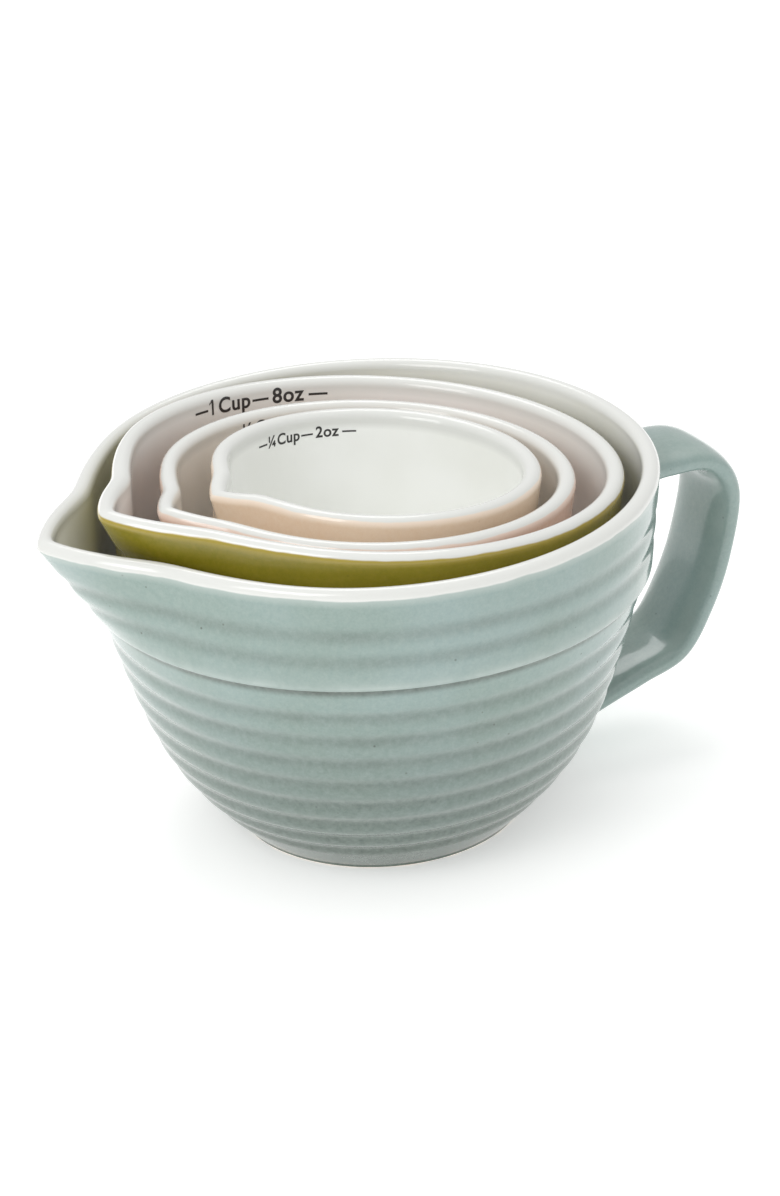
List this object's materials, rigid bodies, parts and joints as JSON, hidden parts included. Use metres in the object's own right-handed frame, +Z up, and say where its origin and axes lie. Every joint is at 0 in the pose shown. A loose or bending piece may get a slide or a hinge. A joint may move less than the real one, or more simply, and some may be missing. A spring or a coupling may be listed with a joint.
{
  "type": "nesting measuring cup set",
  "caption": "Glazed stoneware measuring cups with pouring spouts, nested one inside another; the largest is ribbed and has a collar and a strap handle.",
  "frame": {"origin": "middle of the large cup's flat foot, on the surface that the set stands on", "axes": "+Z up, along the large cup's axis; +X from the bowl's axis towards the handle; the spouts point to -X"},
  "size_m": [0.1494, 0.114, 0.0798],
  "materials": {
    "blue_grey_glaze": "glossy blue-grey glaze outside, white inside",
    "handle_glaze": "glossy blue-grey glaze",
    "olive_glaze": "glossy olive glaze outside, white inside",
    "pink_glaze": "glossy pale pink glaze outside, white inside",
    "peach_glaze": "glossy pale peach glaze outside, white inside"
  },
  "bodies": {
    "large": {"large_cup": "blue_grey_glaze", "large_cup_handle": "handle_glaze"},
    "one": {"one_cup": "olive_glaze"},
    "half": {"half_cup": "pink_glaze"},
    "quarter": {"quarter_cup": "peach_glaze"}
  },
  "joints": [
    {"name": "one_lift", "type": "slide", "parent": "large", "child": "one", "axis": [0, 0, 1], "range_m": [0, 0.075]},
    {"name": "half_lift", "type": "slide", "parent": "one", "child": "half", "axis": [0, 0, 1], "range_m": [0, 0.075]},
    {"name": "quarter_lift", "type": "slide", "parent": "half", "child": "quarter", "axis": [0, 0, 1], "range_m": [0, 0.065]}
  ]
}
